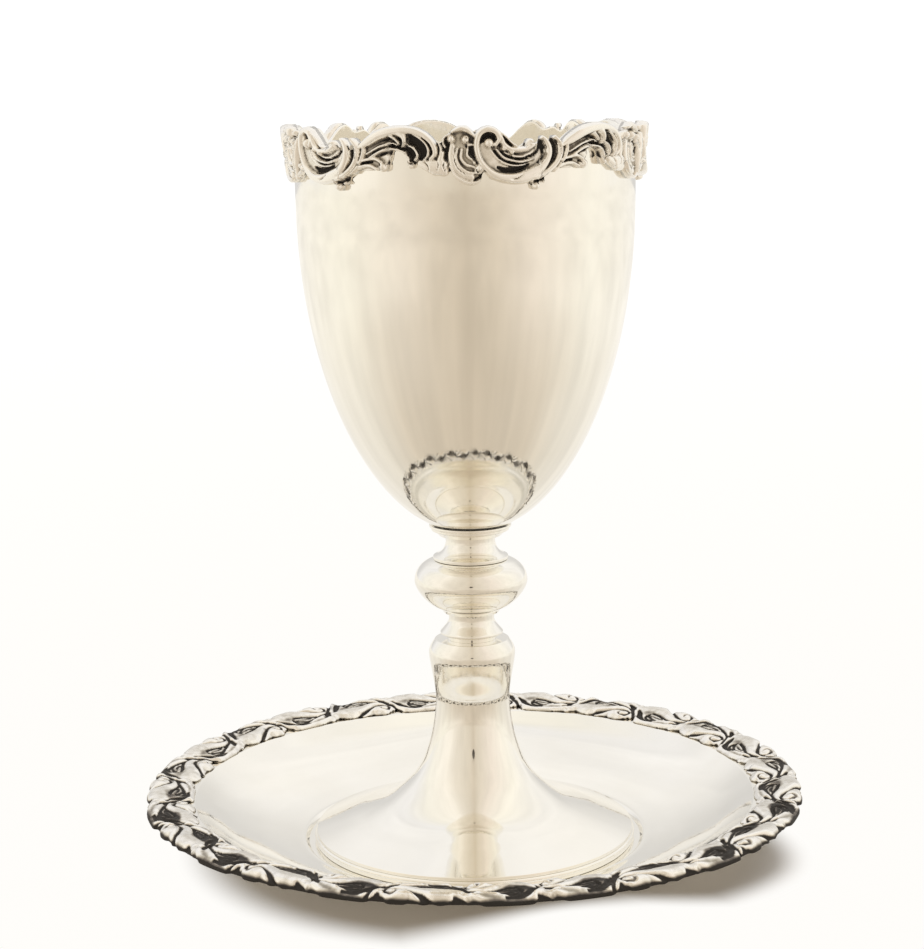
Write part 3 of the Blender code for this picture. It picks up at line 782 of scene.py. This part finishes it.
def plate_cuts(r):
    """The lines that part the forms of half a repeat."""
    r.groove([(6.6, 6.3), (8.6, 6.9), (10.6, 6.6)], (0.8, 1.2, 0.7), 0.75)
    r.band([(7.2, 6.2), (8.8, 6.9), (10.4, 6.9), (12.0, 6.5)], (0.2, 0.32, 0.3, 0.2), 1.25)
    wedge = [(4.8, -1.4), (8.0, 0.0), (10.9, 1.8), (13.2, 3.3)]
    wedge += [(15.2, 4.0), (16.6, 3.5), (17.0, 2.4), (16.3, 1.3)]
    r.groove(wedge, (0.3, 0.42, 0.62, 0.6, 0.45, 0.38, 0.34, 0.3), 1.6)
    r.groove([(16.3, 1.3), (15.2, 0.9), (14.4, 1.5), (14.6, 2.3)], (0.3, 0.28, 0.26, 0.18), 1.3)
    tail = [(6.1, 5.2), (5.7, 6.8), (7.4, 8.0), (10.6, 7.4)]
    tail += [(13.6, 6.3), (16.2, 5.2), (18.0, 3.2), (19.8, 0.2)]
    r.groove(tail, (0.28, 0.34, 0.36, 0.4, 0.45, 0.5, 0.55, 0.5), 1.6)
    r.groove([(6.6, 4.6), (8.8, 5.0), (11.2, 5.8), (13.2, 6.2)], (0.25, 0.4, 0.4, 0.25), 1.5)
    eye = [(1.9, 3.9), (3.1, 5.6), (4.2, 7.4), (6.2, 8.6), (9.0, 8.8)]
    r.groove(eye, (0.3, 0.75, 0.9, 0.55, 0.25), 1.7)
    r.groove([(14.8, 7.5), (16.2, 6.4), (17.3, 5.0)], (0.5, 0.95, 0.5), 1.6)
    r.groove([(17.8, 0.8), (18.5, -1.4)], (0.4, 0.9), 1.6)
    r.groove([(15.4, 11.2), (16.9, 9.7), (18.8, 8.8)], (0.6, 0.42, 0.3), 1.5)
    r.groove([(16.1, 9.0), (16.3, 9.0)], 0.3, 0.9)


def plate_hollow(r):
    """Where the leaf's cup lies, which gets painted shade, more of it towards the front."""
    r.band([(1.6, 5.4), (4.0, 6.0), (7.0, 5.8), (11.0, 6.2)], (1.0, 2.2, 2.3, 0.8), 1.0, full=4)


def plate_drawing(*draws):
    """All the half repeats, mirrored in turn. Each of the draws goes right round before the next."""
    r = Relief(360 * PLATE_MM_PER_DEGREE, -0.9, 9.9, 0.24)
    for draw in draws:
        for number in range(PLATE_HALVES):
            drift = BACK_STRETCH * math.sin(2 * math.pi * number / PLATE_HALVES)
            tip = FIRST_TIP + drift - number * 360 / PLATE_HALVES
            r.draw_from(tip * PLATE_MM_PER_DEGREE, -1, BAND_MIDDLE if number % 2 == 1 else None)
            draw(r)
    r.height = r.blurred(0.17)
    return r


def plate_path(y):
    """Radius, height and outward normal of the bare border, y millimetres from its inner edge."""
    flat = np.minimum(y, TOP_WIDTH)
    start = math.pi / 2 + TOP_SLOPE
    face = start - np.maximum(y - TOP_WIDTH, 0) / EDGE_BEND
    radius = INNER_RADIUS + flat * math.cos(TOP_SLOPE) + EDGE_BEND * (np.cos(face) - math.cos(start))
    height = INNER_HEIGHT + flat * math.sin(TOP_SLOPE) + EDGE_BEND * (np.sin(face) - math.sin(start))
    return radius, height, np.cos(face), np.sin(face)


def plate_border(r, hollows):
    """Wrap the drawing over the plate's seat. Its recesses get oxide and painted shade, and the hollows,
    more towards the front, and the outer edge get painted shade.
    """
    low, _ = r.edges(0.5, 0.3)
    y = low + (PLATE_OUTER - low) * np.linspace(0, 1, PLATE_ROWS)[:, None]
    bevel = np.sin(np.clip(0.12 + (y - low) / BEVEL_WIDTH, 0, 1) * math.pi / 2)
    height = np.maximum(r.sample(r.height, y) * bevel * PLATE_RELIEF, 0.1)
    radius, level, out, up = plate_path(y)
    angles = r.angles(PLATE_MM_PER_DEGREE)
    reach = radius + out * height * OUTER_SWELL
    front = place(reach, np.broadcast_to(angles, y.shape), level + up * height)
    flange = np.full(r.columns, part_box("plate")[1].x / MM + FLANGE_SKIN)
    bottom = np.full(r.columns, level[-1].min())
    top = np.full(r.columns, INNER_HEIGHT - 0.02)
    back = [
        place(flange, angles, bottom),
        place(flange, angles, top),
        place(radius[0], angles, np.minimum(level[0] - 0.05, top)),
    ]
    # Painted shade in the hollows, weighted towards the front.
    front_share = np.clip((np.cos(np.radians(angles)) + 0.35) / 0.7, BACK_SHARE, 1)
    # Painted shade down the outer edge.
    edge_painted_shade = EDGE_PAINTED_SHADE * np.clip((y - 9.0) / 0.6, 0, 1)
    hollow_painted_shade = HOLLOW_PAINTED_SHADE * front_share * r.sample(hollows.height, y)
    # Oxide and painted shade from the recess measure, plus the painted shade of the edge and the hollows.
    dark = np.clip(1.2 * r.sample(r.recess(), y) + (edge_painted_shade + hollow_painted_shade), 0, 1)
    relief_piece("plate_border", [*front, *back], [*dark, dark[-1], dark[-1], dark[0]])


rim_relief = rim_drawing()
plain_pieces(rim_relief)
rim_border(rim_relief)
plate_border(plate_drawing(plate_forms, plate_cuts), plate_drawing(plate_hollow))


# ---------------------------------------------------------------- stage, light and camera

# Lengths in this section are metres. Ramps that go round the goblet start with degrees from the front.
# Painted reflection colours of the floor, which only the silver sees, near and far.
NEAR_PAINTED_REFLECTION = [
    (-180, (0.95, 0.92, 0.87)),
    (-100, (0.85, 0.80, 0.71)),
    (-60, (0.70, 0.62, 0.51)),
    (0, (0.66, 0.57, 0.455)),
    (60, (0.69, 0.61, 0.50)),
    (100, (0.85, 0.80, 0.71)),
    (180, (0.95, 0.92, 0.87)),
]
FAR_PAINTED_REFLECTION = [
    (-180, (0.95, 0.92, 0.87)),
    (-90, (1.0, 0.96, 0.85)),
    (-45, (0.88, 0.80, 0.69)),
    (-20, (0.74, 0.65, 0.53)),
    (0, (0.63, 0.545, 0.435)),
    (20, (0.74, 0.65, 0.53)),
    (45, (0.90, 0.81, 0.70)),
    (90, (1.0, 0.96, 0.86)),
    (180, (0.95, 0.92, 0.87)),
]
TENT = [
    (-180, (1.0, 0.98, 0.95)),
    (-133, (0.93, 0.92, 0.92)),
    (-110, (0.97, 0.94, 0.86)),
    (-72, (1.04, 0.98, 0.88)),
    (-45, (0.86, 0.79, 0.68)),
    (-10, (0.76, 0.68, 0.56)),
    (0, (0.70, 0.61, 0.49)),
    (10, (0.77, 0.69, 0.57)),
    (45, (0.93, 0.84, 0.74)),
    (94, (1.04, 1.0, 0.90)),
    (135, (0.98, 0.96, 0.93)),
    (180, (1.0, 0.98, 0.95)),
]
CAMERA_PLACE = (0, -0.484, 0.1708)
CAMERA_TILT = 80
CAMERA_ROLL = -0.83
OVERHEAD = [(0.0, (0.03, 0.02, 0.014)), (0.6, (0.035, 0.025, 0.018)), (1.0, (1.0, 1.0, 1.0))]
BEHIND_DIM = [(0.0, 0.9), (0.2, 0.85), (0.33, 0.57), (0.45, 0.2), (0.6, 0.0)]
NEAR_BACKDROP = (1.0, 0.985, 0.955, 1)
FAR_BACKDROP = (1.05, 1.045, 1.034, 1)
SHADOW_FADE = (0.055, 0.069)
# Where the shadow's edge is drawn in or let out: a spot, how far it reaches and by how much.
SHADOW_SHIFTS = [((0.02, -0.056, 0), 0.036, 0.022), ((0.062, -0.02, 0), 0.035, -0.016)]


def azimuth_share(tree, x, y):
    """0 to 1 round the goblet: 0.5 at the front, more towards the right."""
    front = calculated(tree, "MULTIPLY", y, -1.0)
    azimuth = calculated(tree, "ARCTAN2", x, front)
    return remapped(tree, azimuth, -math.pi, math.pi)


def round_ramp(tree, share, stops):
    """A colour ramp whose stops are degrees from the front."""
    return ramp(tree, share, [((degrees + 180) / 360, colour) for degrees, colour in stops])


def painted_fold_streaks(tree, share, distance, strength):
    """Soft streaks of painted light and shade in what the silver mirrors, running away from the goblet like
    a cloth's creases.
    """
    place_in_folds = add_node(tree, "CombineXYZ", X=share, Y=distance).outputs[0]
    wide = noise(tree, 1.0, 3.0, stretched_by(tree, place_in_folds, (26, 2.2, 1)))
    return remapped(tree, wide, 0.3, 0.7, 1 - strength, 1 + strength)


def floor_material():
    """Pale cloth. It fades into the backdrop far off. What the silver mirrors of it is a painted reflection
    instead: a glow of warm cloth colours, with painted shade near the plate and painted streaks.
    """
    material, tree, shader = new_material("cloth_floor")
    connect(tree, shader, Base_Color=(0.93, 0.90, 0.86, 1), Roughness=0.9, Specular_IOR_Level=0.0)
    where = add_node(tree, "SeparateXYZ", Vector=add_node(tree, "TexCoord").outputs["Object"])
    flat = add_node(tree, "CombineXYZ", X=where.outputs["X"], Y=where.outputs["Y"]).outputs[0]
    distance = add_node(tree, "VectorMath", {"operation": "LENGTH"}, i0=flat).outputs["Value"]
    edge = distance
    for spot, spread, shift in SHADOW_SHIFTS:
        away = add_node(tree, "VectorMath", {"operation": "DISTANCE"}, i0=flat, i1=spot).outputs["Value"]
        shifted = remapped(tree, away, 0.0, spread, shift, 0.0)
        edge = calculated(tree, "ADD", edge, shifted)
    far = remapped(tree, edge, *SHADOW_FADE, shape="SMOOTHSTEP")
    remote = remapped(tree, distance, 0.15, 1.6)
    pale = add_node(tree, "MixRGB", Fac=remote, Color1=NEAR_BACKDROP, Color2=FAR_BACKDROP).outputs[0]
    backdrop = add_node(tree, "Emission", Color=pale, Strength=1.0).outputs[0]
    shown = add_node(tree, "MixShader", i0=far, i1=shader.outputs[0], i2=backdrop).outputs[0]
    share = azimuth_share(tree, where.outputs["X"], where.outputs["Y"])
    near_painted_reflection = round_ramp(tree, share, NEAR_PAINTED_REFLECTION)
    far_painted_reflection = round_ramp(tree, share, FAR_PAINTED_REFLECTION)
    reach = remapped(tree, distance, 0.1, 0.45)
    painted_reflection_tint = add_node(tree, "MixRGB", Fac=reach, Color1=near_painted_reflection, Color2=far_painted_reflection).outputs[0]
    # Painted shadow of the plate in the floor that the silver mirrors, darker close in.
    shade = remapped(tree, distance, 0.073, 0.083, 0.45, 1.0)
    # Painted streaks in the floor that the silver mirrors.
    fold_streak_strength = painted_fold_streaks(tree, share, distance, 0.07)
    strength = calculated(tree, "MULTIPLY", fold_streak_strength, shade)
    mirrored = add_node(tree, "Emission", Color=painted_reflection_tint, Strength=strength).outputs[0]
    glossy = add_node(tree, "LightPath").outputs["Is Glossy Ray"]
    mixed = add_node(tree, "MixShader", i0=glossy, i1=shown, i2=mirrored).outputs[0]
    tree.links.new(mixed, tree.nodes["Material Output"].inputs["Surface"])
    return material


def stage():
    """The floor, and a small dark card in front that only the silver sees."""
    bpy.ops.mesh.primitive_plane_add(size=6)
    floor = bpy.context.object
    floor.name = "floor"
    floor.data.materials.append(floor_material())
    bpy.ops.mesh.primitive_circle_add(
        vertices=48, radius=0.03, fill_type="NGON", location=(0, -0.5, 0.172), rotation=(math.pi / 2, 0, 0)
    )
    card = bpy.context.object
    card.name = "dark_card"
    card.visible_camera = False
    card.visible_diffuse = False
    material, tree, _ = new_material("dark_card")
    glow = add_node(tree, "Emission", Color=(0.10, 0.085, 0.07, 1), Strength=1.0).outputs[0]
    tree.links.new(glow, tree.nodes["Material Output"].inputs["Surface"])
    card.data.materials.append(material)


def sky():
    """Light from a pale tent, strongest overhead. In the silver it shows tan at the front."""
    world = bpy.data.worlds.new("tent")
    bpy.context.scene.world = world
    world.use_nodes = True
    tree = world.node_tree
    tree.nodes.remove(tree.nodes["Background"])
    way = add_node(tree, "SeparateXYZ", Vector=add_node(tree, "TexCoord").outputs["Generated"])
    share = azimuth_share(tree, way.outputs["X"], way.outputs["Y"])
    tent = round_ramp(tree, share, TENT)
    overhead = ramp(tree, way.outputs["Z"], OVERHEAD)
    path = add_node(tree, "LightPath")
    shown = add_node(tree, "Background", Color=(1.0, 0.995, 0.985, 1), Strength=1.05).outputs[0]
    light = add_node(tree, "Background", Color=overhead, Strength=3.1).outputs[0]
    behind = remapped(tree, way.outputs["Y"], 0.7, 0.9)
    dim = grey_ramp(tree, way.outputs["Z"], BEHIND_DIM)
    dimmed = calculated(tree, "MULTIPLY", behind, dim)
    level = calculated(tree, "MULTIPLY_ADD", dimmed, -0.3, 1.0)
    # Painted streaks in the tent that the silver mirrors.
    fold_streak_strength = painted_fold_streaks(tree, share, way.outputs["Z"], 0.05)
    strength = calculated(tree, "MULTIPLY", fold_streak_strength, level)
    mirrored = add_node(tree, "Background", Color=tent, Strength=strength).outputs[0]
    lit = add_node(tree, "MixShader", i0=path.outputs["Is Diffuse Ray"], i1=shown, i2=light).outputs[0]
    glossy = add_node(tree, "MixShader", i0=path.outputs["Is Glossy Ray"], i1=lit, i2=mirrored).outputs[0]
    tree.links.new(glossy, tree.nodes["World Output"].inputs["Surface"])


def camera():
    """A short telephoto on the front side, a little above the rim and rolled by under a degree."""
    data = bpy.data.cameras.new("camera")
    data.sensor_width = 36
    data.lens = 82.8
    data.shift_x = -0.0079
    item = bpy.data.objects.new("camera", data)
    bpy.context.scene.collection.objects.link(item)
    stand = Matrix.Translation(CAMERA_PLACE)
    tilt = Matrix.Rotation(math.radians(CAMERA_TILT), 4, "X")
    roll = Matrix.Rotation(math.radians(CAMERA_ROLL), 4, "Z")
    item.matrix_world = stand @ tilt @ roll
    bpy.context.scene.camera = item


stage()
sky()
camera()
bpy.context.scene.view_settings.view_transform = "Standard"
